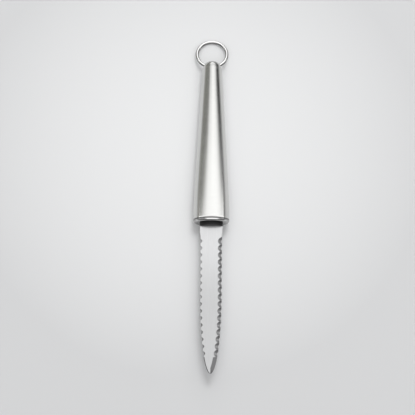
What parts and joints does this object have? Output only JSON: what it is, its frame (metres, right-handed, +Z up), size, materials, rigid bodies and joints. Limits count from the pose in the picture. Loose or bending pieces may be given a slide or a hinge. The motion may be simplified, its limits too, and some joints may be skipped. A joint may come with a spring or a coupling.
{
  "type": "grapefruit knife",
  "caption": "Grapefruit knife with a narrow round-tipped blade scalloped on both edges, a hollow tapered steel handle with an oval mouth and a polished collar, and a hanging ring.",
  "frame": {"origin": "bottom centre of the bounding box, on the table that the knife lies on", "axes": "+Y along the knife towards the hanging ring, the blade's tip towards -Y, +Z up, the blade's flat facing up"},
  "size_m": [0.0222, 0.2152, 0.018],
  "materials": {
    "blade_steel": "fine satin flats, ground facets on the scallops",
    "satin_steel": "satin, brushed round the handle",
    "polished_steel": "mirror polished",
    "black_plastic": "moulded, matt",
    "resin": "cast, hidden in the handle"
  },
  "bodies": {
    "handle": {"handle_shell": "satin_steel", "rear_cap": "satin_steel", "front_collar": "polished_steel", "tang_plug": "black_plastic", "tang_cement": "resin", "blade": "blade_steel"},
    "ring": {"hanging_ring": "polished_steel"}
  },
  "joints": [
    {"name": "ring_swing", "type": "hinge", "parent": "handle", "child": "ring", "pos_m": [0, 0.08931, 0.00615], "axis": [1, 0, 0], "range_deg": [-80, 110]}
  ]
}
